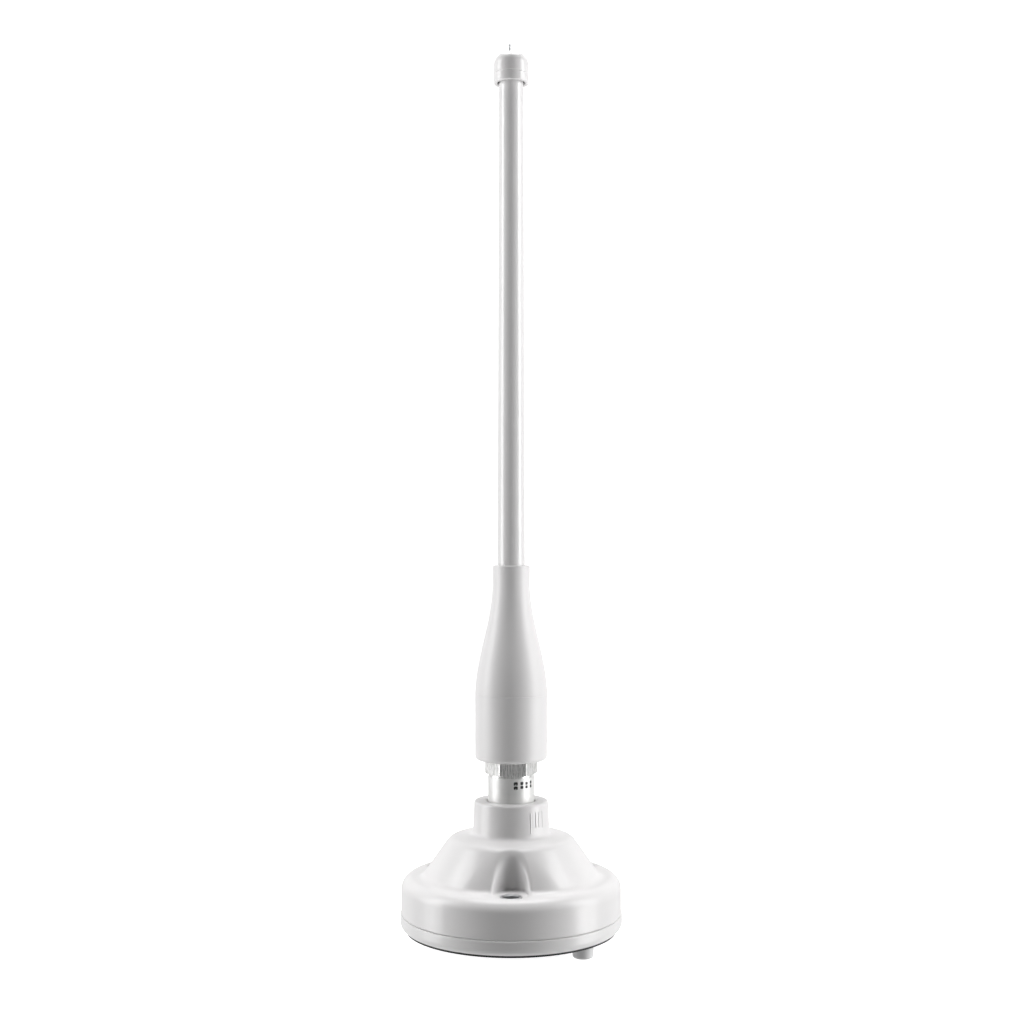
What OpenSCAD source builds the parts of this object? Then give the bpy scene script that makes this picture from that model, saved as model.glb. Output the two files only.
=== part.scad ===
// Omnidirectional antenna: a screw-down base with a coaxial socket in its collar, and a whip that
// screws onto it. Millimetres, +Z up. The origin is the centre of the base's underside.
// Azimuths are turned from the front (-Y) towards +X.

/* [Base] */
// Radius of the base plate at the seam
plate_r = 50.5; // [50.2:0.1:51]
// Height of the seam between base plate and cover
seam_z = 7.6; // [7:0.1:9]
// Radius of the cover's upright wall
cover_r = 50; // [49.6:0.1:50.1]
// Height of the flange round the dome
flange_z = 24.2; // [24.1:0.1:24.5]
// Height of the flat seats at the bottom of the fixing wells
seat_z = 23.9; // [23.5:0.1:24]
// Wall thickness of the cover
cover_wall = 2.8; // [2:0.1:3]
// Radius of each fixing well
well_r = 7.6; // [7.2:0.1:7.8]
// Distance of each well's centre from the axis
well_at = 36.2; // [36:0.1:36.6]
// Distance of each fixing hole from the axis
hole_at = 39.5; // [38.5:0.1:40]
// Radius of each fixing hole
hole_r = 3.35; // [3:0.05:3.5]
// Distance of the feed jack from the axis
jack_at = 38.2; // [37.6:0.1:38.6]
// How far the feed jack reaches below the base
jack_drop = 7.5; // [6:0.1:9]

/* [Collar] */
// Height of the collar's top
collar_z = 58.2; // [57:0.1:60]
// Radius of the collar at its top
collar_r = 16.9; // [16:0.1:17.2]
// Radius of the collar's bore
collar_bore_r = 10.95; // [10.9:0.05:11.2]
// Underside of the deck that carries the socket
deck_z = 38.6; // [38:0.1:39]
// Thickness of that deck
deck_t = 4.8; // [4:0.1:5]

/* [Coupling] */
// Radius of the coupling nut's barrel
barrel_r = 10.6; // [10:0.05:10.65]
// Width across the flats of the coupling nut
nut_af = 20.9; // [20:0.1:21.5]
// Bottom of the coupling nut
nut_z0 = 48.6; // [48:0.1:49]
// Where the hexagon starts
nut_hex_z = 70.2; // [68:0.1:71]
// Top of the coupling nut
nut_z1 = 76.3; // [76:0.1:76.4]
// Outside radius of the coupling thread
thread_r = 7.9; // [7.8:0.05:7.95]

/* [Whip] */
// Bottom of the sleeve
sleeve_z0 = 76.6; // [76.5:0.1:77]
// Radius of the sleeve's straight part
sleeve_r = 16.5; // [16:0.1:17]
// Where the sleeve's two shells meet
sleeve_seam_z = 106.5; // [106:0.1:109]
// Radius of the sleeve's neck
neck_r = 8.45; // [8:0.05:9]
// Top of the sleeve's neck
neck_z = 165; // [160:1:170]
// Radius of the radome at its foot
radome_r0 = 6.15; // [6:0.05:6.3]
// Radius of the radome at its top
radome_r1 = 5.45; // [5.3:0.05:5.6]
// Underside of the tip cap
cap_z = 384.5; // [380:0.5:390]
// Radius of the tip cap
cap_r = 7.9; // [7.5:0.1:8.2]
// Height of the cap's straight side and dome together
cap_h = 14.7; // [14:0.1:16]
// Top of the tip pin
tip_z = 402.7; // [402:0.1:404]

/* [Hidden] */
$fn = 96;

// Base
gasket_t = 0.8;
gasket_r = 48.1;
pocket_r = 28;
pocket_z = 3.6;
seal_r0 = 47.9;
seal_r1 = 49.3;
seal_t = 1.2;
rim_round = 2.2;
rim_round_z = 3.6;
wall_in_r = cover_r - cover_wall - 0.2;
well_count = 3;
jack_azimuth = 56;
flange_round = 5.6;
skirt_r = 43.2;
skirt_z = 24.6;
wall_foot_r = 40.2;
wall_foot_z = 26.4;
crease_r = 32.1;
crease_z = 36.3;
roof_edge_r = 27.6;
roof_edge_z = 41.6;
collar_foot_r = 17.6;
collar_foot_z = 43.2;
collar_round = 1.2;
facet_at = 36.6;
facet_lean = 20;
facet_h = 20;
bushing_r = 4.7;
boss_r = 6.4;
screw_count = 6;
screw_at = 43.2;
screw_first = 30;
screw_key_af = 1.5;
screw_r = 1.5;
screw_head_r = 2.9;
screw_head_h = 1.7;
screw_len = 13;
screw_boss_r = 3.1;
roof_z = flange_z - cover_wall;
hollow_r0 = 29.4;
hollow_r1 = 27;
hollow_z = crease_z - 4;
hollow_round = 3;
well_wall = 2.4;
well_rim = 0.6;
deck_top_z = deck_z + deck_t;
rib_count = 4;
rib_step = 8.5;
rib_azimuth = 34;
rib_h = 8.4;
rib_t = 0.9;
rib_proud = 0.2;
rib_lean = 2.8;
rib_top_gap = 2.8;

// Socket, lead and feed jack
socket_flange_af = 22;
socket_flange_t = 3.5;
socket_seal_t = 0.8;
washer_t = 0.8;
jam_t = 3.2;
jam_af = 18.4;
socket_top_z = 55.6;
socket_chamfer = 0.6;
contact_socket_h = 1.4;
socket_step_z = 46.9;
mating_r = 4.2;
line_r = 3.5;
contact_r = 1.52;
contact_top_z = 51.6;
contact_end_z = 31.5;
pin_r = 0.8;
pin_fit = 0.06;
tail_r = 4.6;
tail_z = 29;
insulator_z = 33;
ferrule_t = 0.7;
ferrule_z = 26.8;
lead_r = 2.5;
lead_fit = 0.05;
lead_bend = 7;
lead_run_z = 17;
jack_shell_r = 4.65;
jack_flange_r = 6.6;
jack_round = 1.2;
jack_flare_z = -1.6;
jack_clearance = 0.2;
jack_thread_r = 4.2;
jack_bore_r = 2.9;
jack_tube_r = 2.5;
jack_nut_af = 12;
jack_nut_t = 2.6;
jack_top_z = 10.2;
jack_body_z = 4;
jack_line_r = 1.7;
jack_contact_r = 0.5;

// Whip
thread_fit = 0.06;
nut_corner_azimuth = 39;
nut_chamfer = 0.7;
ring_fit = 0.2;
shank_r = 7;
shank_fit = 0.1;
body_flange_r = 7.8;
body_flange_z0 = 57;
body_flange_z1 = 60.2;
outer_contact_r = 4.1;
ring_z = 62;
ring_t = 1;
ring_in_r = 6.4;
ring_out_r = 7.5;
shank_shoulder_z = 78.6;
shank_top_z = 95;
pin_end_z = 97.2;
sleeve_round = 1.9;
neck_chamfer = 0.8;
shank_thread_r = 6.2;
shank_nut_z = 89;
shank_nut_t = 4;
shank_nut_af = 20;
sleeve_bore_r = 13.4;
spigot_z = 101;
spigot_r = 11.9;
sleeve_wall = 3;
seal_groove_z = 103;
seal_groove_t = 1.5;
seal_groove_d = 0.8;
radome_z0 = 140;
radome_top_z = 390.5;
radome_bore_r = 4;
former_r = 8;
former_bore_r = 6.4;
former_z0 = 95;
former_z1 = 130;
former_flange_r = 9.6;
former_flange_t = 1.5;
former_lid_t = 2;
link_slot = 2.4;
link_end = 4;
coil_wire_r = 0.7;
coil_gap = 0.15;
coil_turns = 8;
coil_pitch = 2.6;
coil_z0 = 100.5;
radiator_r = 1.2;
phasing_z0 = 262;
phasing_turns = 7;
phasing_pitch = 2.4;
phasing_coil_r = 2.9;
phasing_wire_r = 0.6;
phasing_z1 = phasing_z0 + phasing_turns * phasing_pitch;
spacer_t = 8;
spacer_z = [190, 240, 310, 360];
radiator_top_z = 382;
cap_straight = 8.5;
cap_chamfer = 0.4;
cap_fit = 0.25;
cap_seal_t = 0.9;
cap_seal_h = 2.6;
pin_hold = 4;
pin_head = 0.6;
pin_flare = 0.2;
pin_at_x = -0.6;
tip_pin_r = 0.45;

// Points of an arc in a profile, from angle a0 to a1 about centre c
function arc(c, r, a0, a1, n = 8) =
    [for (i = [0 : n]) let (a = a0 + (a1 - a0) * i / n) [c[0] + r * cos(a), c[1] + r * sin(a)]];

// Points of the ogive between the sleeve's straight part and its neck
function ogive_r(t) = neck_r + (sleeve_r - neck_r) * (0.4 + 0.4 * cos(180 * t) + 0.2 * (1 - t));
ogive_z0 = sleeve_seam_z;
ogive_z1 = 156;
ogive_in_z1 = 145;
function ogive(inset, z_top) =
    [for (i = [0 : 16]) let (t = i / 16) [ogive_r(t) - inset, ogive_z0 + (z_top - ogive_z0) * t]];

// Places its children at an azimuth and a distance from the axis
module at(azimuth, distance) {
    rotate([0, 0, azimuth]) translate([0, -distance, 0]) children();
}

// Repeats its children round the axis
module ring_of(count, distance, first = 0) {
    for (i = [0 : count - 1]) at(first + 360 * i / count, distance) children();
}

// A tube from z0 to z1
module tube(r_out, r_in, z0, z1) {
    rotate_extrude() translate([r_in, z0]) square([r_out - r_in, z1 - z0]);
}

// A plain cylinder from z0 to z1
module rod(r, z0, z1) {
    translate([0, 0, z0]) cylinder(r = r, h = z1 - z0);
}

// A hexagonal prism of a given width across flats, with a corner at azimuth turn
module hexagon(af, z0, z1, turn = 0) {
    translate([0, 0, z0]) rotate([0, 0, turn - 90]) cylinder(r = af / sqrt(3), h = z1 - z0, $fn = 6);
}

// A round wire wound into a helix about the axis
module helix(coil_r, wire_r, turns, pitch, z0) {
    sides = 6;
    per_turn = 18;
    steps = per_turn * turns;
    points = [for (i = [0 : steps]) let (a = 360 * i / per_turn, zc = z0 + pitch * i / per_turn)
        for (j = [0 : sides - 1]) let (b = 360 * j / sides, r = coil_r + wire_r * cos(b))
            [r * cos(a), r * sin(a), zc + wire_r * sin(b)]];
    walls = [for (i = [0 : steps - 1]) for (j = [0 : sides - 1]) let (k = (j + 1) % sides)
        [i * sides + j, (i + 1) * sides + j, (i + 1) * sides + k, i * sides + k]];
    start = [for (j = [0 : sides - 1]) j];
    end = [for (j = [sides - 1 : -1 : 0]) steps * sides + j];
    polyhedron(points, concat(walls, [start], [end]));
}

// Base: the solid outline of the cover, before it is hollowed
module cover_outline() {
    rotate_extrude() polygon(concat(
        [[0, seam_z], [cover_r, seam_z]],
        arc([cover_r - flange_round, flange_z - flange_round], flange_round, 0, 84),
        [[skirt_r, skirt_z], [wall_foot_r, wall_foot_z], [crease_r, crease_z]],
        [[roof_edge_r, roof_edge_z], [collar_foot_r + 1, collar_foot_z - 1]],
        [[collar_foot_r, collar_foot_z]],
        arc([collar_r - collar_round, collar_z - collar_round], collar_round, 0, 90),
        [[0, collar_z]]));
}

// The leaning flat face that cuts the dome at each well
module facet_cut() {
    ring_of(well_count, facet_at) translate([0, 0, flange_z]) rotate([90, 0, 90])
        linear_extrude(height = 1.2 * cover_r, center = true)
            polygon([[0, 0], [facet_h * tan(facet_lean), facet_h], [-facet_h, facet_h], [-facet_h, 0]]);
}

// The hollow inside the cover
module cover_hollow() {
    difference() {
        rotate_extrude() polygon([
            [0, seam_z - 1], [wall_in_r, seam_z - 1], [wall_in_r, roof_z - hollow_round],
            [wall_in_r - hollow_round, roof_z], [hollow_r0, roof_z], [hollow_r1, hollow_z],
            [hollow_r1 - 2, hollow_z + 1], [collar_foot_r - 1, deck_z], [0, deck_z]]);
        ring_of(well_count, well_at) rod(well_r + well_wall, roof_z - well_rim, collar_z);
        ring_of(well_count, hole_at) rod(boss_r, seam_z - 2, collar_z);
        ring_of(screw_count, screw_at, screw_first) rod(screw_boss_r, seam_z - 2, collar_z);
    }
}

module base_gasket() {
    color("#2b2c2e") difference() {
        rod(gasket_r, 0, gasket_t);
        ring_of(well_count, hole_at) rod(bushing_r, -1, 2);
        at(jack_azimuth, jack_at) rod(jack_flange_r + jack_clearance, -1, 2);
    }
}

module base_plate() {
    color("#f1f2f2") difference() {
        rotate_extrude() polygon(concat(
            [[0, gasket_t], [gasket_r, gasket_t], [gasket_r, 0.3]],
            arc([plate_r - rim_round, rim_round_z], rim_round, -80, 0),
            [[plate_r, seam_z - 0.5], [plate_r - 0.5, seam_z], [0, seam_z]]));
        rod(pocket_r, pocket_z, seam_z + 1);
        tube(seal_r1, seal_r0, seam_z - seal_t, seam_z + 1);
        ring_of(well_count, hole_at) rod(bushing_r, -1, seam_z + 1);
        ring_of(screw_count, screw_at, screw_first) screw_hole();
        at(jack_azimuth, jack_at) rod(jack_thread_r, -1, seam_z + 1);
    }
}

// Clearance hole and countersink of one cover screw
module screw_hole() {
    rod(screw_r, -1, seam_z + 1);
    translate([0, 0, gasket_t]) cylinder(r1 = screw_head_r, r2 = screw_r, h = screw_head_h);
}

module seam_seal() {
    color("#5a5c5f") tube(seal_r1, seal_r0, seam_z - seal_t, seam_z);
}

module housing_cover() {
    color("#f4f5f5") difference() {
        union() {
            difference() {
                cover_outline();
                facet_cut();
                ring_of(well_count, well_at) rod(well_r, seat_z, collar_z);
            }
            collar_ribs();
        }
        cover_hollow();
        rod(collar_bore_r, deck_top_z, collar_z + 1);
        rod(thread_r, deck_z - 1, deck_top_z + 1);
        ring_of(well_count, hole_at) rod(bushing_r, seam_z - 1, seat_z + 1);
        ring_of(screw_count, screw_at, screw_first) rod(screw_r, seam_z - 1, gasket_t + screw_len);
    }
}

// Short upright ribs on one side of the collar
module collar_ribs() {
    for (i = [0 : rib_count - 1]) at(rib_azimuth + i * rib_step, collar_foot_r)
        translate([-rib_t / 2, 0, collar_z - rib_top_gap - rib_h]) rotate([-rib_lean, 0, 0])
            translate([0, -rib_proud, 0]) cube([rib_t, 2, rib_h]);
}

module cover_screws() {
    color("#9a9da1") ring_of(screw_count, screw_at, screw_first) difference() {
        union() {
            rod(screw_r, gasket_t + 0.5, gasket_t + screw_len - 0.5);
            translate([0, 0, gasket_t])
                cylinder(r1 = screw_head_r, r2 = screw_r, h = screw_head_h);
        }
        hexagon(screw_key_af, gasket_t - 1, gasket_t + 1);
    }
}

module mount_bushings() {
    color("#b9bcc0") ring_of(well_count, hole_at) tube(bushing_r, hole_r, 0.2, seat_z);
}

module socket_body() {
    color("#c9cccf") difference() {
        union() {
            rod(thread_r, deck_z - 2, socket_top_z - socket_chamfer);
            translate([0, 0, socket_top_z - socket_chamfer])
                cylinder(r1 = thread_r, r2 = thread_r - socket_chamfer, h = socket_chamfer);
            hexagon(socket_flange_af, deck_z - socket_seal_t - socket_flange_t,
                deck_z - socket_seal_t);
            rod(tail_r, tail_z, deck_z - socket_seal_t);
        }
        rod(mating_r, socket_step_z, socket_top_z + 1);
        rod(line_r, insulator_z, socket_step_z + 0.5);
        rod(lead_r + lead_fit, tail_z - 1, insulator_z + 0.5);
    }
}

module socket_insulator() {
    color("#f7f7f4") tube(line_r, contact_r, insulator_z, socket_step_z);
}

module socket_contact() {
    color("#c9a24b") difference() {
        rod(contact_r, contact_end_z, contact_top_z);
        rod(pin_r + pin_fit, socket_step_z - contact_socket_h, contact_top_z + 1);
    }
}

module socket_seal() {
    color("#303234") tube(10.6, thread_r, deck_z - socket_seal_t, deck_z);
}

module socket_washer() {
    color("#c4c6c8") tube(10.2, thread_r, deck_top_z, deck_top_z + washer_t);
}

module socket_nut() {
    color("#c9cccf") difference() {
        hexagon(jam_af, deck_top_z + washer_t, deck_top_z + washer_t + jam_t);
        rod(thread_r, deck_top_z, socket_top_z);
    }
}

module lead_ferrule() {
    color("#b98d55") {
        tube(tail_r + ferrule_t, tail_r, tail_z, insulator_z - 1);
        tube(tail_r + ferrule_t, lead_r + lead_fit, ferrule_z, tail_z);
    }
}

// The coaxial lead inside the base: down from the socket, across, and down to the feed jack
module feed_lead() {
    color("#3a3b3d") rotate([0, 0, jack_azimuth]) {
        rod(lead_r, lead_run_z + lead_bend, contact_end_z);
        translate([0, -lead_bend, lead_run_z + lead_bend]) rotate([0, 90, 0])
            rotate_extrude(angle = 90) translate([lead_bend, 0]) circle(r = lead_r);
        translate([0, -lead_bend, lead_run_z]) rotate([90, 0, 0])
            cylinder(r = lead_r, h = jack_at - 2 * lead_bend);
        translate([0, lead_bend - jack_at, lead_run_z - lead_bend]) rotate([0, -90, 180])
            rotate_extrude(angle = 90) translate([lead_bend, 0]) circle(r = lead_r);
        translate([0, -jack_at, 0]) rod(lead_r, jack_body_z, lead_run_z - lead_bend);
    }
}

module feed_jack_shell() {
    color("#f1f2f2") at(jack_azimuth, jack_at) difference() {
        union() {
            rotate_extrude() polygon(concat(
                [[0, -jack_drop]],
                arc([jack_shell_r - jack_round, jack_round - jack_drop], jack_round, -90, 0, 4),
                [[jack_shell_r, jack_flare_z], [jack_flange_r, gasket_t / -2], [jack_flange_r, gasket_t],
            [0, gasket_t]]));
            rod(jack_thread_r, 0, jack_top_z);
        }
        rod(jack_bore_r, -jack_drop - 1, gasket_t);
        rod(jack_tube_r, 0, jack_top_z + 1);
    }
}

module feed_jack_nut() {
    color("#f1f2f2") at(jack_azimuth, jack_at) difference() {
        hexagon(jack_nut_af, seam_z, seam_z + jack_nut_t);
        rod(jack_thread_r, seam_z - 1, seam_z + jack_nut_t + 1);
    }
}

module feed_jack_body() {
    color("#cfae5e") at(jack_azimuth, jack_at) {
        tube(jack_tube_r, jack_line_r, jack_round - jack_drop, jack_body_z);
    }
}

module feed_jack_insulator() {
    color("#f7f7f4") at(jack_azimuth, jack_at) tube(jack_line_r, jack_contact_r, -1, jack_body_z);
}

module feed_jack_contact() {
    color("#c9a24b") at(jack_azimuth, jack_at) rod(jack_contact_r, 2 - jack_drop, jack_body_z);
}

module coupling_nut() {
    color("#d4d6d8") difference() {
        union() {
            rod(barrel_r, nut_z0, nut_hex_z);
            intersection() {
                hexagon(nut_af, nut_hex_z, nut_z1, nut_corner_azimuth);
                rotate_extrude() polygon([
                    [0, nut_hex_z], [barrel_r, nut_hex_z], [nut_af / sqrt(3), nut_hex_z + nut_chamfer],
                    [nut_af / sqrt(3), nut_z1 - nut_chamfer], [barrel_r, nut_z1], [0, nut_z1]]);
            }
        }
        rod(thread_r + thread_fit, nut_z0 - 1, body_flange_z1 + ring_fit);
        rod(shank_r + shank_fit, nut_z0, nut_z1 + 1);
        rod(ring_out_r + 0.3, ring_z - ring_fit, ring_z + ring_t + ring_fit);
    }
}

module connector_body() {
    color("#c9cccf") difference() {
        union() {
            rod(outer_contact_r, socket_step_z + 0.1, body_flange_z0 + 0.5);
            rod(body_flange_r, body_flange_z0, body_flange_z1);
            rod(shank_r, body_flange_z1 - 0.5, shank_shoulder_z);
            rod(shank_thread_r, shank_shoulder_z - 0.5, shank_top_z);
        }
        rod(line_r, socket_step_z, shank_top_z + 1);
        tube(shank_r + 1, ring_in_r, ring_z, ring_z + ring_t);
    }
}

module connector_insulator() {
    color("#f7f7f4") tube(line_r, contact_r, body_flange_z0, shank_top_z);
}

module connector_pin() {
    color("#c9a24b") {
        rod(pin_r, socket_step_z, contact_top_z + 0.6);
        rod(contact_r, contact_top_z + 0.5, pin_end_z);
    }
}

module connector_gasket() {
    color("#c8553d") tube(thread_r - 0.6, outer_contact_r, socket_top_z + 0.05, body_flange_z0);
}

module retaining_ring() {
    color("#8e9195") difference() {
        tube(ring_out_r, ring_in_r, ring_z, ring_z + ring_t);
        at(180, 7) translate([-1, -3, 0]) cube([2, 6, 100]);
    }
}

module shank_nut() {
    color("#c9cccf") difference() {
        hexagon(shank_nut_af, shank_nut_z, shank_nut_z + shank_nut_t);
        rod(shank_thread_r, shank_nut_z - 1, shank_top_z);
    }
}

module sleeve_lower() {
    color("#f4f5f5") difference() {
        rotate_extrude() polygon(concat(
            [[0, sleeve_z0]],
            arc([sleeve_r - sleeve_round, sleeve_z0 + sleeve_round], sleeve_round, -90, 0),
            [[sleeve_r, sleeve_seam_z], [0, sleeve_seam_z]]));
        rod(shank_r, sleeve_z0 - 1, shank_shoulder_z);
        rod(shank_thread_r, sleeve_z0, shank_nut_z);
        rod(sleeve_bore_r, shank_nut_z, sleeve_seam_z + 1);
    }
}

module sleeve_upper() {
    color("#f4f5f5") difference() {
        union() {
            rotate_extrude() polygon(concat(
                [[0, ogive_z0]], ogive(0, ogive_z1),
                [[neck_r, neck_z - neck_chamfer], [neck_r - neck_chamfer / 2, neck_z], [0, neck_z]]));
            rod(sleeve_bore_r, spigot_z, ogive_z0 + 1);
        }
        rotate_extrude() polygon(concat(
            [[0, spigot_z - 1], [spigot_r, spigot_z - 1]],
            [for (p = ogive(sleeve_wall, ogive_in_z1)) [min(spigot_r, max(p[0], radome_r0)), p[1]]],
            [[0, ogive_in_z1]]));
        rod(radome_r0, radome_z0, neck_z + 1);
        tube(sleeve_bore_r + 1, sleeve_bore_r - seal_groove_d, seal_groove_z,
            seal_groove_z + seal_groove_t);
    }
}

module sleeve_seal() {
    color("#303234") tube(sleeve_bore_r, sleeve_bore_r - seal_groove_d, seal_groove_z,
        seal_groove_z + seal_groove_t);
}

module coil_former() {
    color("#e9e6dc") difference() {
        union() {
            tube(former_r, former_bore_r, former_z0, former_z1);
            tube(former_flange_r, shank_thread_r, former_z0 - 2, former_z0 + former_flange_t);
            rod(former_r, former_z1 - former_lid_t, former_z1);
        }
        rod(radiator_r, former_z1 - link_end, former_z1 + 1);
        for (z = [coil_z0, coil_z0 + coil_turns * coil_pitch])
            translate([0, -link_slot / 2, z - link_slot / 2])
                cube([2 * former_r, link_slot, link_slot]);
    }
}

module loading_coil() {
    color("#b87333")
        helix(former_r + coil_gap + coil_wire_r, coil_wire_r, coil_turns, coil_pitch, coil_z0);
}

// The two wires that join the coil to the connector's pin and to the radiator
module coil_links() {
    color("#b87333") {
        rod(coil_wire_r, pin_end_z, coil_z0 + coil_wire_r);
        translate([0, 0, coil_z0]) rotate([0, 90, 0])
            cylinder(r = coil_wire_r, h = former_r + coil_gap);
        translate([0, 0, coil_z0 + coil_turns * coil_pitch]) rotate([0, 90, 0])
            cylinder(r = coil_wire_r, h = former_r + coil_gap);
        rod(coil_wire_r, coil_z0 + coil_turns * coil_pitch - coil_wire_r, former_z1 - link_end);
    }
}

module radome() {
    color("#f6f7f7") rotate_extrude() polygon([
        [radome_bore_r, radome_z0], [radome_r0, radome_z0], [radome_r0, neck_z + 2],
        [radome_r1, radome_top_z], [radome_bore_r, radome_top_z]]);
}

// A radial wire from the axis to the phasing coil
module phasing_link(z) {
    translate([0, 0, z]) rotate([0, 90, 0])
        cylinder(r = phasing_wire_r, h = phasing_coil_r - phasing_wire_r);
}

module lower_radiator() {
    color("#c08a4a") {
        rod(radiator_r, former_z1 - link_end, phasing_z0 + phasing_wire_r);
        phasing_link(phasing_z0);
    }
}

module phasing_coil() {
    color("#b87333")
        helix(phasing_coil_r, phasing_wire_r, phasing_turns, phasing_pitch, phasing_z0);
}

module upper_radiator() {
    color("#c08a4a") {
        rod(radiator_r, phasing_z1 - phasing_wire_r, radiator_top_z);
        phasing_link(phasing_z1);
    }
}

module foam_spacers() {
    color("#e7e3d6") for (z = spacer_z)
        tube(radome_bore_r, radiator_r, z, z + spacer_t);
}

module tip_cap() {
    color("#f4f5f5") difference() {
        rotate_extrude() polygon(concat(
            [[0, cap_z], [cap_r - cap_chamfer, cap_z], [cap_r, cap_z + cap_chamfer],
                [cap_r, cap_z + cap_straight]],
            [for (i = [1 : 12]) let (a = 90 * i / 12)
                [cap_r * cos(a), cap_z + cap_straight + (cap_h - cap_straight) * sin(a)]]));
        rod(radome_r1 + cap_fit, cap_z - 1, radome_top_z);
        rod(radome_r1 + cap_seal_t, cap_z - 1, cap_z + cap_seal_h);
        translate([pin_at_x, 0, 0]) rod(tip_pin_r, cap_z + cap_h - pin_hold, tip_z);
    }
}

module cap_seal() {
    color("#303234")
        tube(radome_r1 + cap_seal_t, radome_r1 + 0.02, cap_z + cap_seal_h / 2, cap_z + cap_seal_h);
}

module tip_pin() {
    color("#a9acb0") translate([pin_at_x, 0, 0]) {
        rod(tip_pin_r, cap_z + cap_h - pin_hold, tip_z - pin_head);
        translate([0, 0, tip_z - 2 * pin_head])
            cylinder(r1 = tip_pin_r, r2 = tip_pin_r + pin_flare, h = pin_head);
        translate([0, 0, tip_z - pin_head])
            cylinder(r1 = tip_pin_r + pin_flare, r2 = tip_pin_r - pin_flare / 2, h = pin_head);
    }
}

base_gasket();
base_plate();
seam_seal();
housing_cover();
cover_screws();
mount_bushings();
socket_body();
socket_insulator();
socket_contact();
socket_seal();
socket_washer();
socket_nut();
lead_ferrule();
feed_lead();
feed_jack_shell();
feed_jack_nut();
feed_jack_body();
feed_jack_insulator();
feed_jack_contact();
coupling_nut();
connector_body();
connector_insulator();
connector_pin();
connector_gasket();
retaining_ring();
shank_nut();
sleeve_lower();
sleeve_upper();
sleeve_seal();
coil_former();
loading_coil();
coil_links();
radome();
lower_radiator();
phasing_coil();
upper_radiator();
foam_spacers();
tip_cap();
cap_seal();
tip_pin();
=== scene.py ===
"""Omnidirectional antenna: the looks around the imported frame. Lengths are metres, +Z is up."""
import math

import bmesh
import bpy
import numpy as np
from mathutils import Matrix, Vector


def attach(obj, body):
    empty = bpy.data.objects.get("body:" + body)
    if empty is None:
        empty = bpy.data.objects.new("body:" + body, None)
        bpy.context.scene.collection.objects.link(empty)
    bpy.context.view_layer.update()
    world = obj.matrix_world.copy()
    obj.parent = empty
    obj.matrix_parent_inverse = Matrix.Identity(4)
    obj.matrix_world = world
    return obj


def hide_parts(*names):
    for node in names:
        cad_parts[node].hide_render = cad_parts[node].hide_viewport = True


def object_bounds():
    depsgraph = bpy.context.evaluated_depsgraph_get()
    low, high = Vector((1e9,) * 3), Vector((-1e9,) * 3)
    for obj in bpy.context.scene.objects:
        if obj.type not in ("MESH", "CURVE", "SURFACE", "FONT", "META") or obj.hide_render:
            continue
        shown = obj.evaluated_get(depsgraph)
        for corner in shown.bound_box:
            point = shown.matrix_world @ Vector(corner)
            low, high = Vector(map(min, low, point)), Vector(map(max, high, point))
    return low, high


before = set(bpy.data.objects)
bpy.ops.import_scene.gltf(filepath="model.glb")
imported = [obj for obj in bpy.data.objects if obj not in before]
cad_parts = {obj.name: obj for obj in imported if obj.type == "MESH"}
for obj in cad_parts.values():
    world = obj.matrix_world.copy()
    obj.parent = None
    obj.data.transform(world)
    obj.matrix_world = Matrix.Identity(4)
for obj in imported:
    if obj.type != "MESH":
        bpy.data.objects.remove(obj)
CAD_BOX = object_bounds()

MM = 0.001

# ---------------------------------------------------------------- camera, light and stage

EYE_HEIGHT = 178.4 * MM
EYE_DISTANCE = 655 * MM
LENS_MM = 50.5
SHIFT_UP = 0.0234
SHIFT_RIGHT = 0.0008
FRONT_LIGHT = 0.03
BACK_LIGHT = 0.56
FLOOR_LIGHT = 0.70
FLOOR_Z = CAD_BOX[0][2] - 0.2 * MM


def make_camera():
    """Level camera in front of the antenna, at the photograph's angle."""
    data = bpy.data.cameras.new("camera")
    data.lens = LENS_MM
    data.sensor_width = 36
    data.shift_x = SHIFT_RIGHT
    data.shift_y = SHIFT_UP
    data.clip_start = 0.01
    data.clip_end = 50
    camera = bpy.data.objects.new("camera", data)
    camera.location = (0, -EYE_DISTANCE, EYE_HEIGHT)
    camera.rotation_euler = (math.radians(90), 0, 0)
    bpy.context.collection.objects.link(camera)
    bpy.context.scene.camera = camera


def area_light(name, place, aim, size, power):
    """A rectangular soft light at place, turned towards aim."""
    data = bpy.data.lights.new(name, "AREA")
    data.shape = "RECTANGLE"
    data.size, data.size_y = size
    data.energy = power
    lamp = bpy.data.objects.new(name, data)
    lamp.location = place
    lamp.rotation_euler = (Vector(aim) - Vector(place)).to_track_quat("-Z", "Y").to_euler()
    bpy.context.collection.objects.link(lamp)
    return lamp


def make_lights():
    """Tall soft boxes at both sides, a softer one overhead, and a dim surround."""
    area_light("left_box", (-0.84, -0.06, 0.25), (0, 0, 0.2), (0.40, 1.3), 10.0)
    area_light("right_box", (0.84, -0.12, 0.25), (0, 0, 0.2), (0.40, 1.3), 11.0)
    area_light("top_box", (0, 0.25, 1.3), (0, 0, 0.05), (0.7, 0.7), 10.5)
    make_surround()
    bpy.context.scene.view_settings.view_transform = "Standard"


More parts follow.
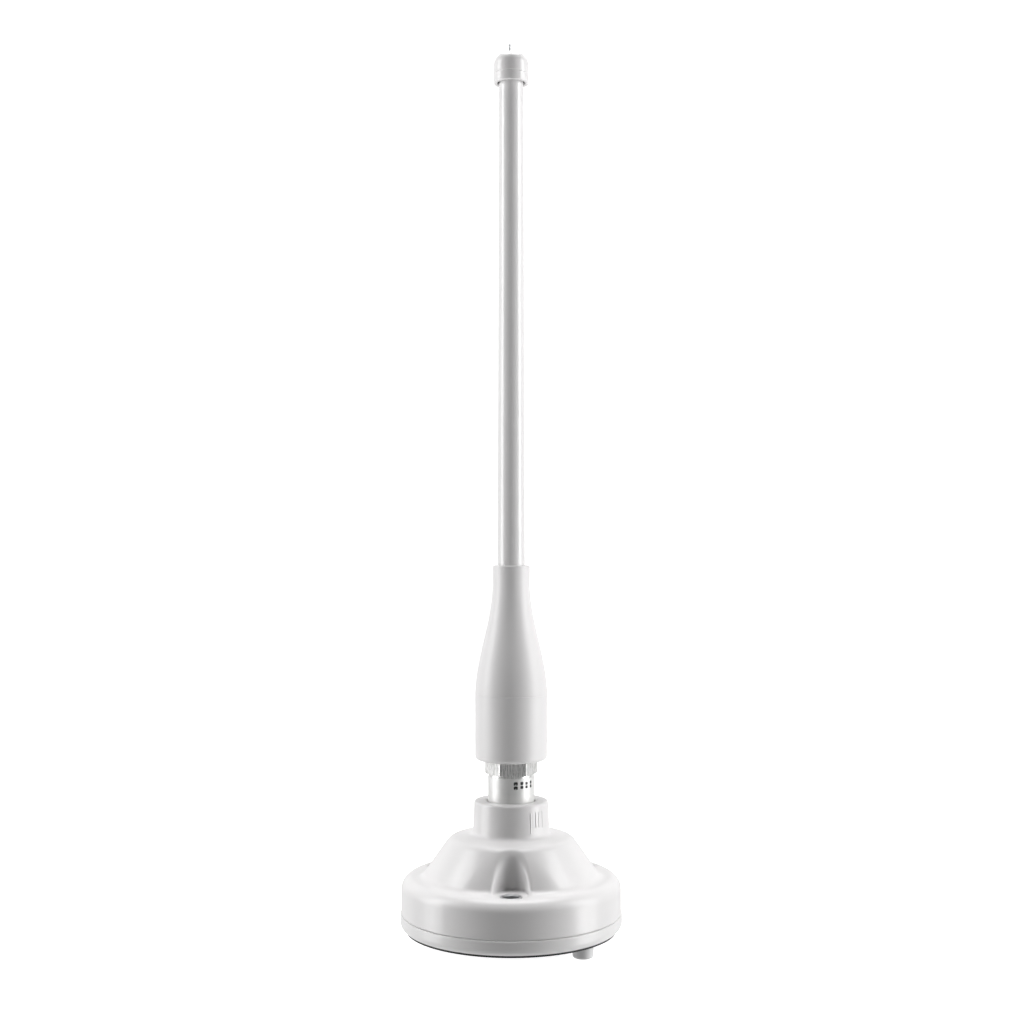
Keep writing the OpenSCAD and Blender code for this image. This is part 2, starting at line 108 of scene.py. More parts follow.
def make_surround():
    """White surround: bright behind the antenna, dim in front of it, a little lift from below."""
    world = bpy.data.worlds.new("surround")
    world.use_nodes = True
    nodes, links = world.node_tree.nodes, world.node_tree.links
    place = nodes.new("ShaderNodeTexCoord")
    parts = nodes.new("ShaderNodeSeparateXYZ")
    links.new(place.outputs["Generated"], parts.inputs["Vector"])
    behind = nodes.new("ShaderNodeMapRange")
    behind.inputs["From Min"].default_value = 0.0
    behind.inputs["From Max"].default_value = 0.6
    behind.inputs["To Min"].default_value = FRONT_LIGHT
    behind.inputs["To Max"].default_value = BACK_LIGHT
    links.new(parts.outputs["Y"], behind.inputs["Value"])
    below = nodes.new("ShaderNodeMapRange")
    below.inputs["From Min"].default_value = -0.7
    below.inputs["From Max"].default_value = 0.0
    below.inputs["To Min"].default_value = FLOOR_LIGHT
    below.inputs["To Max"].default_value = 0
    links.new(parts.outputs["Z"], below.inputs["Value"])
    total = nodes.new("ShaderNodeMath")
    total.operation = "ADD"
    links.new(behind.outputs["Result"], total.inputs[0])
    links.new(below.outputs["Result"], total.inputs[1])
    background = nodes["Background"]
    background.inputs["Color"].default_value = (1, 1, 1, 1)
    links.new(total.outputs["Value"], background.inputs["Strength"])
    bpy.context.scene.world = world


def make_stage():
    """A pale floor that curves up into a backdrop, bright enough to read as white paper."""
    half, depth, bend = 4.0, 2.2, 0.8
    path = [(-depth, 0)]
    path += [(depth - bend + bend * math.sin(a), bend - bend * math.cos(a))
             for a in np.linspace(0, math.pi / 2, 17)]
    path += [(depth, 4.0)]
    mesh = bpy.data.meshes.new("floor")
    verts = [(x, y, FLOOR_Z + z) for y, z in path for x in (-half, half)]
    faces = [(2 * i, 2 * i + 1, 2 * i + 3, 2 * i + 2) for i in range(len(path) - 1)]
    mesh.from_pydata(verts, [], faces)
    mesh.polygons.foreach_set("use_smooth", [True] * len(faces))
    floor = bpy.data.objects.new("floor", mesh)
    bpy.context.collection.objects.link(floor)
    paper = bpy.data.materials.new("paper")
    paper.use_nodes = True
    shader = paper.node_tree.nodes["Principled BSDF"]
    shader.inputs["Base Color"].default_value = (0.9, 0.9, 0.9, 1)
    shader.inputs["Roughness"].default_value = 0.9
    shader.inputs["Specular IOR Level"].default_value = 0.1
    shader.inputs["Emission Color"].default_value = (1, 1, 1, 1)
    shader.inputs["Emission Strength"].default_value = 0.92
    mesh.materials.append(paper)
    floor.visible_diffuse = False
    floor.visible_glossy = False


# ---------------------------------------------------------------- materials

def material(name, color, rough, metallic=0.0, coat=0.0, speck=0.0, bump=0.0, scale=1.0,
             rough_spread=0.08, stretch=(1, 1, 1), coat_rough=0.12, sheen=0.0):
    """A procedural finish: fine colour variation, uneven gloss and a small bump.

    scale is the size of the surface's texture in millimetres; stretch draws it out along an axis.
    """
    mat = bpy.data.materials.new(name)
    mat.use_nodes = True
    nodes, links = mat.node_tree.nodes, mat.node_tree.links
    shader = nodes["Principled BSDF"]
    shader.inputs["Metallic"].default_value = metallic
    shader.inputs["Coat Weight"].default_value = coat
    shader.inputs["Coat Roughness"].default_value = coat_rough
    shader.inputs["Sheen Weight"].default_value = sheen

    place = nodes.new("ShaderNodeTexCoord")
    mapping = nodes.new("ShaderNodeMapping")
    mapping.inputs["Scale"].default_value = [1 / (scale * MM * s) for s in stretch]
    links.new(place.outputs["Object"], mapping.inputs["Vector"])

    grain = nodes.new("ShaderNodeTexNoise")
    grain.inputs["Scale"].default_value = 1.0
    grain.inputs["Detail"].default_value = 6
    links.new(mapping.outputs["Vector"], grain.inputs["Vector"])
    blotch = nodes.new("ShaderNodeTexNoise")
    blotch.inputs["Scale"].default_value = 0.06
    blotch.inputs["Detail"].default_value = 3
    links.new(mapping.outputs["Vector"], blotch.inputs["Vector"])

    tint = nodes.new("ShaderNodeMapRange")
    tint.inputs["To Min"].default_value = 1 - speck
    tint.inputs["To Max"].default_value = 1
    links.new(blotch.outputs["Fac"], tint.inputs["Value"])
    mix = nodes.new("ShaderNodeVectorMath")
    mix.operation = "SCALE"
    mix.inputs[0].default_value = color
    links.new(tint.outputs["Result"], mix.inputs["Scale"])
    links.new(mix.outputs["Vector"], shader.inputs["Base Color"])

    gloss = nodes.new("ShaderNodeMapRange")
    gloss.inputs["From Min"].default_value = 0.3
    gloss.inputs["From Max"].default_value = 0.7
    gloss.inputs["To Min"].default_value = max(0.02, rough - rough_spread)
    gloss.inputs["To Max"].default_value = min(1.0, rough + rough_spread)
    links.new(grain.outputs["Fac"], gloss.inputs["Value"])
    links.new(gloss.outputs["Result"], shader.inputs["Roughness"])

    if bump:
        relief = nodes.new("ShaderNodeBump")
        relief.inputs["Strength"].default_value = bump
        relief.inputs["Distance"].default_value = 0.05 * MM
        links.new(grain.outputs["Fac"], relief.inputs["Height"])
        links.new(relief.outputs["Normal"], shader.inputs["Normal"])
    return mat


MAT = {}


def make_materials():
    """Every finish on the object, by name."""
    white = (0.815, 0.805, 0.806)
    MAT["cover"] = material("cover_white", white, 0.36, coat=0.15, speck=0.02, bump=0.12,
                            scale=0.5, rough_spread=0.05)
    MAT["plate"] = material("base_white", (0.808, 0.802, 0.80), 0.38, coat=0.15, speck=0.03,
                            bump=0.2, scale=0.5)
    MAT["sleeve"] = material("sleeve_white", white, 0.42, coat=0.06, speck=0.02, bump=0.10,
                             scale=0.5, rough_spread=0.05)
    MAT["radome"] = material("radome_white", (0.83, 0.823, 0.823), 0.26, coat=0.30, speck=0.02,
                             bump=0.06, scale=0.6, stretch=(1, 1, 18), rough_spread=0.04)
    MAT["cap"] = material("cap_white", white, 0.32, coat=0.2, speck=0.02, bump=0.10, scale=0.5)
    MAT["jack"] = material("jack_white", (0.80, 0.80, 0.805), 0.4, speck=0.03, bump=0.2, scale=0.6)
    MAT["barrel"] = material("barrel_nickel", (0.82, 0.82, 0.81), 0.46, metallic=0.30, speck=0.06,
                             bump=0.25, scale=0.4, stretch=(30, 30, 0.25), rough_spread=0.08)
    MAT["flats"] = material("brushed_flats", (0.86, 0.86, 0.85), 0.30, metallic=0.72, speck=0.08,
                            bump=0.2, scale=0.4, stretch=(0.6, 0.6, 12), rough_spread=0.10)
    MAT["nickel"] = material("bright_nickel", (0.80, 0.80, 0.79), 0.20, metallic=1.0, speck=0.05,
                             bump=0.08, scale=0.8, rough_spread=0.05)
    MAT["steel"] = material("turned_steel", (0.56, 0.57, 0.58), 0.32, metallic=1.0, speck=0.12,
                            bump=0.3, scale=0.5, stretch=(12, 12, 0.3))
    MAT["zinc"] = material("zinc_plate", (0.70, 0.71, 0.72), 0.36, metallic=1.0, speck=0.10,
                           bump=0.2, scale=0.7)
    MAT["rubber"] = material("gasket_rubber", (0.035, 0.036, 0.038), 0.72, speck=0.35, bump=0.6,
                             scale=0.8, sheen=0.1)
    MAT["silicone"] = material("red_silicone", (0.42, 0.09, 0.05), 0.5, speck=0.15, bump=0.3,
                               scale=0.7)
    MAT["ptfe"] = material("ptfe", (0.84, 0.84, 0.82), 0.42, coat=0.1, speck=0.04, bump=0.12,
                           scale=0.6)
    MAT["gold"] = material("gold_flash", (0.86, 0.63, 0.27), 0.2, metallic=1.0, speck=0.08,
                           bump=0.1, scale=0.5)
    MAT["copper"] = material("copper_wire", (0.72, 0.33, 0.16), 0.26, metallic=1.0, coat=0.6,
                             speck=0.15, bump=0.12, scale=0.5)
    MAT["former"] = material("former_resin", (0.60, 0.55, 0.42), 0.5, speck=0.12, bump=0.3,
                             scale=0.7)
    MAT["foam"] = material("spacer_foam", (0.72, 0.69, 0.60), 0.9, speck=0.35, bump=1.0, scale=0.7)
    MAT["ink"] = material("black_ink", (0.012, 0.012, 0.013), 0.5, speck=0.3, bump=0.2, scale=0.3)


# ---------------------------------------------------------------- mesh helpers

def new_piece(name, verts, faces, mat, body, smooth=True, normals=None):
    """A mesh object with its finish, riding on its body."""
    mesh = bpy.data.meshes.new(name)
    mesh.from_pydata(verts, [], faces)
    mesh.materials.append(mat)
    mesh.polygons.foreach_set("use_smooth", [smooth] * len(mesh.polygons))
    if normals is not None:
        mesh.normals_split_custom_set_from_vertices(normals)
    piece = bpy.data.objects.new(name, mesh)
    bpy.context.collection.objects.link(piece)
    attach(piece, body)
    return piece


def arc(cx, cz, radius, start, end, steps=8):
    """Points of a profile's round stretch, angles in degrees."""
    return [(cx + radius * math.cos(math.radians(a)), cz + radius * math.sin(math.radians(a)))
            for a in np.linspace(start, end, steps + 1)]


def revolve(name, profile, mat, body, segments=192, sharp=28, centre=(0, 0)):
    """Turns a closed profile of (radius, height) points in millimetres about an upright axis."""
    points = [(max(r, 0.0), z) for r, z in profile]
    verts, rows = [], []
    for r, z in points:
        if r < 1e-6:
            rows.append([len(verts)] * segments)
            verts.append((centre[0] * MM, centre[1] * MM, z * MM))
            continue
        rows.append(list(range(len(verts), len(verts) + segments)))
        for k in range(segments):
            a = 2 * math.pi * k / segments
            verts.append(((centre[0] + r * math.cos(a)) * MM, (centre[1] + r * math.sin(a)) * MM,
                          z * MM))
    faces = []
    for i, row in enumerate(rows):
        after = rows[(i + 1) % len(rows)]
        if len(set(row)) == 1 and len(set(after)) == 1:
            continue
        for k in range(segments):
            n = (k + 1) % segments
            face = [row[k], row[n], after[n], after[k]]
            face = [v for j, v in enumerate(face) if v not in face[:j]]
            if len(face) > 2:
                faces.append(face)
    piece = new_piece(name, verts, faces, mat, body)
    tidy_normals(piece, sharp)
    return piece


def tidy_normals(piece, sharp):
    """Points the faces outward and keeps edges steeper than sharp degrees crisp."""
    bm = bmesh.new()
    bm.from_mesh(piece.data)
    bmesh.ops.remove_doubles(bm, verts=bm.verts, dist=1e-7)
    bmesh.ops.recalc_face_normals(bm, faces=bm.faces)
    limit = math.radians(sharp)
    for edge in bm.edges:
        edge.smooth = not (len(edge.link_faces) == 2 and edge.calc_face_angle(0) > limit)
    bm.to_mesh(piece.data)
    bm.free()


# ---------------------------------------------------------------- the cover, as one smooth field

SEAM_Z = 7.6
COVER_R = 50.0
FLANGE_Z = 24.2
FLANGE_ROUND = 5.6
SEAT_Z = 23.9
COLLAR_Z = 58.2
WELLS = [0, 120, 240]
WELL_AT, WELL_R = 36.2, 7.6
HOLE_AT, BUSHING_R = 39.5, 4.7
SCREW_AT, SCREW_R = 43.2, 1.5
FACE_AT, FACE_LEAN = 36.0, math.radians(19)
WALL = 2.8
DECK_Z0, DECK_Z1 = 38.6, 43.4
COLLAR_BORE_R = 11.2
THREAD_R = 7.9
GRID_STEP = 0.5
BOSS_R = 8.6
DOME_LIMIT_R = 44.0
# Corners of the dome's profile, as (radius, height)
DOME_FOOT, CREASE, ROOF_EDGE, ROOF_TOP = (40.9, 24.2), (32.0, 36.3), (28.3, 41.6), (17.6, 43.0)


def outward(azimuth):
    """Unit vector pointing away from the axis at an azimuth turned from the front."""
    a = math.radians(azimuth)
    return math.sin(a), -math.cos(a)


def join(a, b, k):
    """Union of two fields with a fillet about k wide."""
    h = np.maximum(k - np.abs(a - b), 0) / k
    return np.minimum(a, b) - h * h * k / 4


def common(a, b, k):
    """Intersection of two fields with its edge rounded over k."""
    return -join(-a, -b, k)


def cut(a, b, k):
    """Field a with b taken away, the edge rounded over k."""
    return common(a, -b, k)


def slope(r, z, low, high):
    """Signed distance outside the line through two points (radius, height) of a profile."""
    dr, dz = high[0] - low[0], high[1] - low[1]
    length = math.hypot(dr, dz)
    return ((r - low[0]) * dz - (z - low[1]) * dr) / length


def rounded(a, b, radius):
    """Two faces meeting in a true quarter round: a and b are how far outside each a point is."""
    a, b = a + radius, b + radius
    outside = np.hypot(np.maximum(a, 0), np.maximum(b, 0))
    return outside + np.minimum(np.maximum(a, b), 0) - radius


def cover_body(x, y, z):
    """The cover's outside: flange, dome with its flat faces and wells, and collar."""
    r = np.hypot(x, y)
    flange = rounded(r - COVER_R, z - FLANGE_Z, FLANGE_ROUND)
    dome = common(slope(r, z, DOME_FOOT, CREASE), slope(r, z, CREASE, ROOF_EDGE), 0.8)
    dome = np.maximum(common(dome, slope(r, z, ROOF_EDGE, ROOF_TOP), 1.8), r - DOME_LIMIT_R)
    near_well = np.full_like(r, 1e3)
    for azimuth in WELLS:
        ux, uy = outward(azimuth)
        along = x * ux + y * uy
        face = (along - FACE_AT) * math.cos(FACE_LEAN) + (z - FLANGE_Z) * math.sin(FACE_LEAN)
        dome = common(dome, face, 2.6)
        near_well = np.minimum(near_well, np.hypot(x - ux * WELL_AT, y - uy * WELL_AT) - WELL_R)
    body = join(flange, dome, 2.0)
    collar = rounded(slope(r, z, (17.55, 43.2), (16.9, COLLAR_Z)), z - COLLAR_Z, 1.0)
    body = join(body, collar, 2.2)
    return cut(body, common(near_well, SEAT_Z - z, 1.0), 1.9)


def cover_field(x, y, z):
    """The finished cover: its body, hollowed, with the collar's bore and the holes cut."""
    r = np.hypot(x, y)
    body = cover_body(x, y, z)
    field = common(body, SEAM_Z - z, 0.5)
    hollow = np.maximum(body + WALL, z - DECK_Z0)
    for azimuth in WELLS:
        ux, uy = outward(azimuth)
        hole = np.hypot(x - ux * HOLE_AT, y - uy * HOLE_AT)
        hollow = common(hollow, BOSS_R - hole, 1.2)
        field = cut(field, hole - BUSHING_R, 0.5)
    field = cut(field, hollow, 0.4)
    field = cut(field, np.maximum(r - COLLAR_BORE_R, DECK_Z1 - z), 0.9)
    return cut(field, r - THREAD_R, 0.3)


def mesh_field(field, low, high, step):
    """Closed mesh of a field's zero surface: one vertex a cell, then pulled onto the surface."""
    axes = [np.arange(a, b + step, step) for a, b in zip(low, high)]
    grid = field(*np.meshgrid(*axes, indexing="ij"))
    inside = grid < 0
    corners = sum(inside[i:inside.shape[0] - 1 + i, j:inside.shape[1] - 1 + j,
                         k:inside.shape[2] - 1 + k].astype(np.int8)
                  for i in (0, 1) for j in (0, 1) for k in (0, 1))
    mixed = (corners > 0) & (corners < 8)
    ids = np.full(mixed.shape, -1)
    ids[mixed] = np.arange(mixed.sum())
    cells = np.argwhere(mixed)
    points = np.array(low) + (cells + 0.5) * step

    faces = []
    for axis in range(3):
        u, v = [a for a in range(3) if a != axis]
        first, second = [slice(None)] * 3, [slice(None)] * 3
        first[axis], second[axis] = slice(0, -1), slice(1, None)
        change = inside[tuple(first)].astype(np.int8) - inside[tuple(second)]
        for sign in (1, -1):
            at = np.argwhere(change == sign)
            ring = []
            for du, dv in ((0, 0), (-1, 0), (-1, -1), (0, -1)):
                c = at.copy()
                c[:, u] += du
                c[:, v] += dv
                ring.append(ids[tuple(c.T)])
            quad = np.stack(ring, axis=1)
            flip = (sign == 1) == (axis != 1)
            faces.append(quad if flip else quad[:, ::-1])
    faces = np.concatenate(faces)

    def gradient(p, e):
        parts = []
        for axis in range(3):
            d = np.zeros(3)
            d[axis] = e
            parts.append((field(*(p + d).T) - field(*(p - d).T)) / (2 * e))
        return np.stack(parts, axis=1)

    for _ in range(5):
        g = gradient(points, 0.02)
        value = field(*points.T)
        move = value / np.maximum((g * g).sum(axis=1), 0.3)
        points -= np.clip(move, -step, step)[:, None] * g
    normals = gradient(points, 0.05)
    normals /= np.linalg.norm(normals, axis=1)[:, None]
    return points, faces, normals


def make_cover():
    """The moulded cover in place of its CAD solid."""
    edge = COVER_R + 1.25
    points, faces, normals = mesh_field(cover_field, (-edge, -edge, SEAM_Z - 0.85),
                                        (edge, edge, COLLAR_Z + 1.05), GRID_STEP)
    cover = new_piece("cover_shell", points * MM, faces.tolist(), MAT["cover"], "base",
                      normals=normals)
    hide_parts("housing_cover")


# ---------------------------------------------------------------- turned and moulded pieces

JACK_AT, JACK_AZIMUTH, JACK_DROP = 38.2, 56, 7.5
JACK_THREAD_R = 4.2


def make_base_plate():
    """Base plate: a rounded rim that stands a little proud of the cover above it."""
    r, z0, z1 = 50.5, 0.8, SEAM_Z
    rim = [(47.2, z0), (47.2, 0.62)] + arc(r - 3.6, 4.2, 3.6, -80, -4, 12)
    rim += arc(r - 0.7, z1 - 0.75, 0.7, 0, 90, 5)
    rim += [(49.3, z1 - 0.05), (49.3, z1 - 1.2), (47.9, z1 - 1.2), (47.9, z1), (28, z1),
            (28, 3.6), (0, 3.6), (0, z0)]
    plate = revolve("base_rim", rim, MAT["plate"], "base", segments=256)
    holes = [(HOLE_AT, a, BUSHING_R) for a in WELLS]
    holes += [(SCREW_AT, 30 + 60 * k, SCREW_R) for k in range(6)]
    holes += [(JACK_AT, JACK_AZIMUTH, JACK_THREAD_R)]
    drill(plate, holes, -1, 12)
    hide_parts("base_plate")


def drill(piece, holes, z0, z1):
    """Cuts upright round holes, each (distance, azimuth, radius), through a piece."""
    bm = bmesh.new()
    for distance, azimuth, radius in holes:
        ux, uy = outward(azimuth)
        made = bmesh.ops.create_cone(bm, cap_ends=True, segments=64, radius1=radius * MM,
                                     radius2=radius * MM, depth=(z1 - z0) * MM)
        bmesh.ops.translate(bm, verts=made["verts"],
                            vec=(ux * distance * MM, uy * distance * MM, (z0 + z1) / 2 * MM))
    mesh = bpy.data.meshes.new("drills")
    bm.to_mesh(mesh)
    bm.free()
    tool = bpy.data.objects.new("drills", mesh)
    bpy.context.collection.objects.link(tool)
    hole_cut = piece.modifiers.new("holes", "BOOLEAN")
    hole_cut.object = tool
    hole_cut.solver = "EXACT"
    graph = bpy.context.evaluated_depsgraph_get()
    finished = bpy.data.meshes.new_from_object(piece.evaluated_get(graph))
    piece.modifiers.clear()
    piece.data = finished
    bpy.data.objects.remove(tool)
    tidy_normals(piece, 28)


def make_bushings():
    """Three metal sleeves in the fixing holes, each with a broken edge at its mouth."""
    inner, outer, z0, z1 = 3.35, 4.7, 0.2, SEAT_Z
    profile = [(inner, z0 + 0.3), (inner, z1 - 0.45), (inner + 0.45, z1 - 0.02), (outer - 0.3, z1),
               (outer, z1 - 0.25), (outer, z0 + 0.3), (outer - 0.3, z0), (inner + 0.3, z0)]
    for name, azimuth in zip(("front", "right", "left"), WELLS):
        ux, uy = outward(azimuth)
        bushing = revolve("bushing_" + name, profile, MAT["zinc"], "base",
                          segments=96, centre=(ux * HOLE_AT, uy * HOLE_AT))
        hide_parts("mount_bushings")


def make_jack_shell():
    """White spigot below the base, with a flared root and a soft lower edge."""
    r, root, low = 4.65, 6.55, -JACK_DROP
    profile = [(2.9, 0.8), (2.9, low + 0.4), (3.2, low)]
    profile += arc(r - 1.1, low + 1.1, 1.1, -90, 0, 7)
    profile += [(r + (root - r) * (1 - math.cos(t)), -2.2 + 1.8 * math.sin(t))
                for t in np.linspace(0.1, math.pi / 2, 8)]
    profile += [(root, 0.8), (4.2, 0.8), (4.2, 10.2), (2.5, 10.2), (2.5, 0.8)]
    ux, uy = outward(JACK_AZIMUTH)
    shell = revolve("jack_spigot", profile, MAT["jack"], "base", segments=96,
                    centre=(ux * JACK_AT, uy * JACK_AT))
    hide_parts("feed_jack_shell")


def make_collar_ribs():
    """Raised ribs moulded on one side of the collar, the first one longest."""
    # azimuth, foot, top and width of each rib
    ribs = [(30.5, 45.0, 55.6, 0.9), (40.0, 47.4, 55.6, 0.8), (46.0, 47.4, 55.6, 0.8),
            (54.5, 47.0, 55.8, 0.9)]
    verts, faces = [], []
    for azimuth, low, high, width in ribs:
        verts, faces = add_rib(verts, faces, azimuth, low, high, width)
    rib = new_piece("collar_ribs", verts, faces, MAT["cover"], "base")
    tidy_normals(rib, 60)


def collar_radius(z):
    """The collar's radius at a height."""
    return 17.55 + (16.9 - 17.55) * (z - 43.2) / (COLLAR_Z - 43.2)


def add_rib(verts, faces, azimuth, low, high, width):
    """Adds one half-round rib that follows the collar's slope and fades at both ends."""
    proud, rows, around = 0.20, 14, 8
    start = len(verts)
    for i in range(rows + 1):
        t = i / rows
        z = low + (high - low) * t
        fade = min(1, math.sin(math.pi * t) * 3.2)
        for j in range(around + 1):
            b = math.pi * j / around
            across = -math.cos(b) * width / 2 * (0.35 + 0.65 * fade)
            out = -0.12 + (proud + 0.12) * math.sin(b) * fade
            r = collar_radius(z) + out
            a = math.radians(azimuth) + across / r
            verts.append((r * math.sin(a) * MM, -r * math.cos(a) * MM, z * MM))
    wide = around + 1
    for i in range(rows):
        for j in range(around):
            k = start + i * wide + j
            faces.append((k, k + 1, k + 1 + wide, k + wide))
        k = start + i * wide
        faces.append((k + around, k, k + wide, k + wide + around))
    faces.append(tuple(start + j for j in range(around, -1, -1)))
    faces.append(tuple(start + rows * wide + j for j in range(wide)))
    return verts, faces


# ---------------------------------------------------------------- coupling nut

BARREL_R, NUT_Z0, NUT_HEX_Z, NUT_Z1 = 10.6, 48.6, 70.2, 76.3
NUT_AF, NUT_CORNER_R, NUT_TURN = 20.9, 12.0, 34


def hex_radius(angle):
    """Distance from the axis to the hexagon's flat at an angle, in degrees from a corner."""
    off = angle % 60 - 30
    return NUT_AF / 2 / math.cos(math.radians(off))


def make_coupling_nut():
    """Turned barrel, a relief groove, and a hexagon with chamfered corners, bored through."""
    outside = [(10.15, NUT_Z0), (BARREL_R, NUT_Z0 + 0.45)]
    outside += [(BARREL_R, z) for z in (52, 56, 58.4, 62, 66)]
    outside += [(BARREL_R, NUT_HEX_Z - 1.1), (BARREL_R - 0.25, NUT_HEX_Z - 0.85),
                (BARREL_R - 0.25, NUT_HEX_Z - 0.15)]
    hexagon = [(10.75, NUT_HEX_Z), (11.3, NUT_HEX_Z + 0.05), (12.0, NUT_HEX_Z + 0.35),
               (13, NUT_HEX_Z + 0.8), (13, NUT_HEX_Z + 3.0), (13, NUT_Z1 - 0.8),
               (12.0, NUT_Z1 - 0.35), (11.3, NUT_Z1 - 0.05), (10.6, NUT_Z1)]
    bore = [(7.1, NUT_Z1), (7.1, 63.2), (7.8, 63.2), (7.8, 61.8), (7.1, 61.8), (7.1, 60.4),
            (7.96, 60.4), (7.96, NUT_Z0 + 0.5), (8.4, NUT_Z0)]
    profile = outside + hexagon + bore
    segments = 360
    verts = []
    for r, z in profile:
        for k in range(segments):
            rim = min(r, hex_radius(k), NUT_CORNER_R) if NUT_HEX_Z <= z and r > 8 else r
            a = math.radians(k + NUT_TURN)
            verts.append((rim * math.sin(a) * MM, -rim * math.cos(a) * MM, z * MM))
    rows = len(profile)
    faces = [(i * segments + k, i * segments + (k + 1) % segments,
              (i + 1) % rows * segments + (k + 1) % segments, (i + 1) % rows * segments + k)
             for i in range(rows) for k in range(segments)]
    nut = new_piece("nut_shell", verts, faces, MAT["flats"], "nut")
    nut.data.materials.append(MAT["barrel"])
    tidy_normals(nut, 14)
    for face in nut.data.polygons:
        if face.center.z < (NUT_HEX_Z - 0.9) * MM:
            face.material_index = 1
    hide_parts("coupling_nut")


def make_index_marks():
    """Four short ink ticks on the barrel, in place of lettering."""
    verts, faces = [], []
    r0, r1 = BARREL_R - 0.05, BARREL_R + 0.03
    for azimuth, width, low, high in ((11.2, 1.9, 64.4, 67.9), (27, 1.5, 64.7, 67.9),
                                      (40.8, 1.4, 64.7, 67.7), (56, 1.2, 64.8, 67.9)):
        middle = (low + high) / 2
        for z0, z1 in ((low, middle - 0.12), (middle + 0.12, high)):
            start = len(verts)
            steps = 12
            for r in (r0, r1):
                for k in range(steps):
                    b = 2 * math.pi * k / steps
                    across = math.copysign(abs(math.cos(b)) ** 0.5, math.cos(b)) * width / 2
                    up = math.copysign(abs(math.sin(b)) ** 0.5, math.sin(b)) * (z1 - z0) / 2
                    a = math.radians(azimuth) + across / r
                    verts.append((r * math.sin(a) * MM, -r * math.cos(a) * MM,
                                  ((z0 + z1) / 2 + up) * MM))
            faces += [tuple(start + steps + k for k in range(steps)),
                      tuple(start + k for k in reversed(range(steps)))]
            faces += [(start + k, start + (k + 1) % steps, start + steps + (k + 1) % steps,
                       start + steps + k) for k in range(steps)]
    marks = new_piece("barrel_ticks", verts, faces, MAT["ink"], "nut", smooth=False)
    tidy_normals(marks, 40)


# ---------------------------------------------------------------- whip

SLEEVE_Z0, SLEEVE_R, SLEEVE_SEAM_Z = 76.6, 16.5, 106.5
NECK_R, NECK_Z, OGIVE_Z1 = 8.45, 165.0, 156.0
RADOME_R0, RADOME_R1, RADOME_TOP = 6.15, 5.45, 390.5
CAP_Z, CAP_R, CAP_SIDE, CAP_H = 384.5, 7.9, 8.5, 14.7


def ogive_radius(t):
    """The sleeve's radius along its taper, t from 0 at the seam to 1 at the neck."""
    return NECK_R + (SLEEVE_R - NECK_R) * (0.4 + 0.4 * math.cos(math.pi * t) + 0.2 * (1 - t))


def make_sleeve():
    """The sleeve's two shells, which meet at a fine joint line."""
    round_r = 1.9
    lower = [(7.0, SLEEVE_Z0)]
    lower += arc(SLEEVE_R - round_r, SLEEVE_Z0 + round_r, round_r, -90, 0, 12)
    lower += [(SLEEVE_R, 90), (SLEEVE_R, SLEEVE_SEAM_Z - 0.15), (SLEEVE_R - 0.12, SLEEVE_SEAM_Z),
              (13.4, SLEEVE_SEAM_Z), (13.4, 89), (6.2, 89), (6.2, 78.6), (7.0, 78.6)]
    shell = revolve("sleeve_cup", lower, MAT["sleeve"], "whip")
    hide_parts("sleeve_lower")

    upper = [(SLEEVE_R - 0.12, SLEEVE_SEAM_Z), (SLEEVE_R - 0.03, SLEEVE_SEAM_Z + 0.12)]
    upper += [(ogive_radius(t), SLEEVE_SEAM_Z + (OGIVE_Z1 - SLEEVE_SEAM_Z) * t)
              for t in np.linspace(0.02, 1, 60)]
    upper += [(NECK_R, 160), (NECK_R, NECK_Z - 0.7)]
    upper += arc(NECK_R - 0.6, NECK_Z - 0.6, 0.6, 0, 90, 6)
    upper += [(RADOME_R0 + 0.75, NECK_Z), (RADOME_R0 + 0.6, NECK_Z - 0.5), (RADOME_R0, NECK_Z - 0.7),
              (RADOME_R0, 140)]
    upper += [(11.9, 116), (11.9, 101), (13.4, 101), (13.4, SLEEVE_SEAM_Z)]
    shell = revolve("sleeve_ogive", upper, MAT["sleeve"], "whip")
    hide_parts("sleeve_upper")


def make_radome():
    """The long white tube: straight in the neck, then a fine taper to the cap."""
    inner, low = 4.0, 140.0
    profile = [(inner, low), (RADOME_R0, low), (RADOME_R0, 167.0)]
    profile += [(RADOME_R0 + (RADOME_R1 - RADOME_R0) * t, 167 + (RADOME_TOP - 167) * t)
                for t in np.linspace(0.05, 1, 20)]
    profile += [(inner, RADOME_TOP)]
    tube = revolve("radome_tube", profile, MAT["radome"], "whip")
    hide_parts("radome")


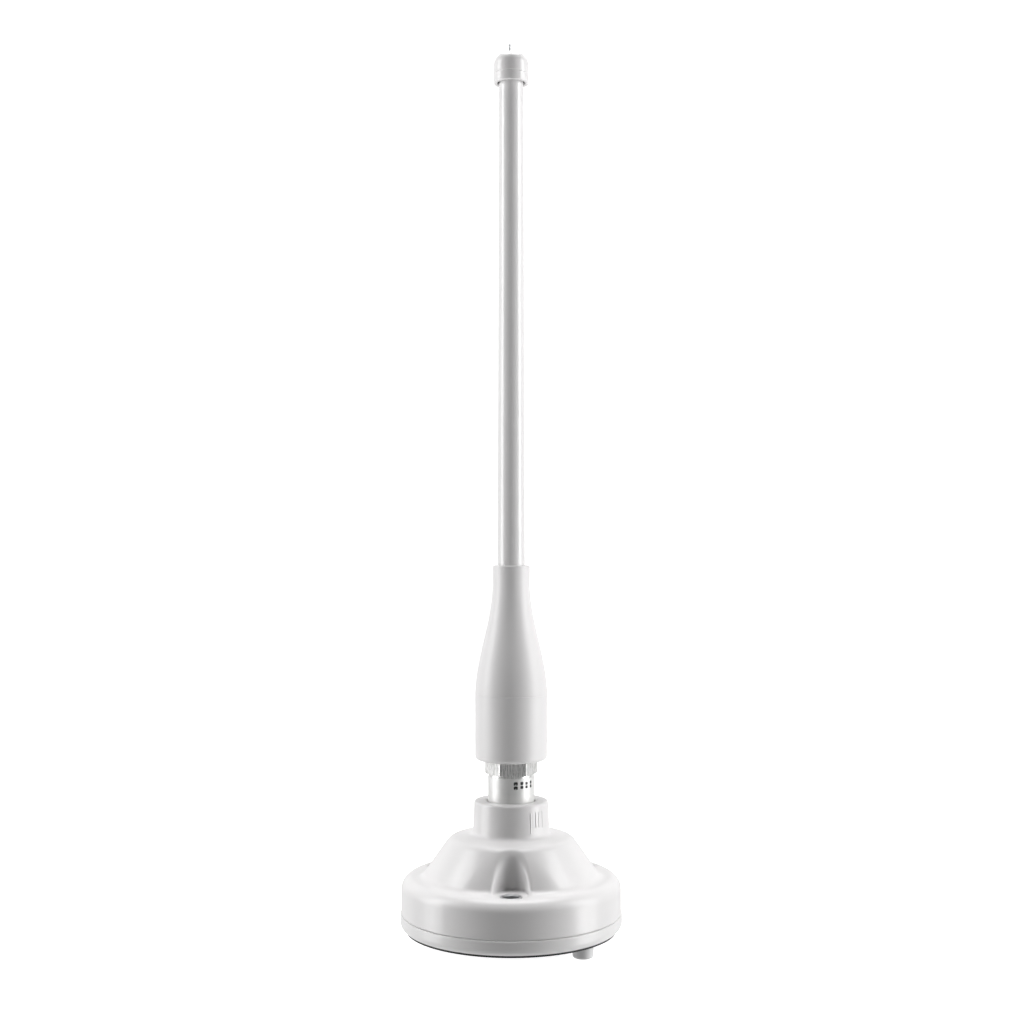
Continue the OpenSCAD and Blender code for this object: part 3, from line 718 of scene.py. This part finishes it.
def make_cap():
    """Tip cap: a straight skirt with a fine line round it, and a dome."""
    low, side = CAP_Z, CAP_Z + CAP_SIDE
    profile = arc(CAP_R - 0.45, low + 0.45, 0.45, -90, 0, 5)
    profile += [(CAP_R, low + 3.9), (CAP_R - 0.16, low + 4.1), (CAP_R - 0.16, low + 4.4),
                (CAP_R, low + 4.6)]
    profile += [(CAP_R * math.cos(a), side + (CAP_H - CAP_SIDE) * math.sin(a))
                for a in np.linspace(0, math.pi / 2, 25)][:-1]
    profile += [(0, low + CAP_H), (0, RADOME_TOP), (5.7, RADOME_TOP), (5.7, low + 2.6),
                (6.35, low + 2.6), (6.35, low + 0.3), (6.65, low)]
    cap = revolve("cap_dome", profile, MAT["cap"], "whip")
    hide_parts("tip_cap")


def make_tip_pin():
    """Thin metal pin out of the cap's crown, with a small rounded head."""
    x, foot, top, r = -0.6, 395.2, 402.7, 0.45
    profile = [(0, foot), (r, foot), (r, top - 1.2), (r * 0.8, top - 1.05), (r * 0.8, top - 0.9)]
    profile += [(0.62 * math.cos(a), top - 0.45 + 0.45 * math.sin(a))
                for a in np.linspace(-math.pi / 3, math.pi / 2, 9)][:-1]
    profile += [(0, top)]
    pin = revolve("tip_needle", profile, MAT["steel"], "whip", segments=48,
                  centre=(x, 0))
    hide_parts("tip_pin")


# ---------------------------------------------------------------- carried-over CAD nodes

NODE_FINISH = {
    "base_gasket": "rubber", "seam_seal": "rubber", "socket_seal": "rubber",
    "sleeve_seal": "rubber", "cap_seal": "rubber", "feed_lead": "rubber",
    "connector_gasket": "silicone", "cover_screws": "steel", "socket_washer": "steel",
    "retaining_ring": "steel", "socket_body": "nickel", "socket_nut": "nickel",
    "connector_body": "nickel", "shank_nut": "nickel", "lead_ferrule": "gold",
    "feed_jack_nut": "jack", "feed_jack_body": "gold", "feed_jack_contact": "gold",
    "socket_contact": "gold", "connector_pin": "gold", "socket_insulator": "ptfe",
    "connector_insulator": "ptfe", "feed_jack_insulator": "ptfe", "coil_former": "former",
    "loading_coil": "copper", "coil_links": "copper", "phasing_coil": "copper",
    "lower_radiator": "copper", "upper_radiator": "copper", "foam_spacers": "foam",
}


def finish_nodes():
    """Gives each CAD node that stays its own finish."""
    for name, finish in NODE_FINISH.items():
        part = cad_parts[name]
        part.data.materials.clear()
        part.data.materials.append(MAT[finish])


make_camera()
make_lights()
make_stage()
make_materials()
make_cover()
make_base_plate()
make_bushings()
make_jack_shell()
make_collar_ribs()
make_coupling_nut()
make_index_marks()
make_sleeve()
make_radome()
make_cap()
make_tip_pin()
finish_nodes()
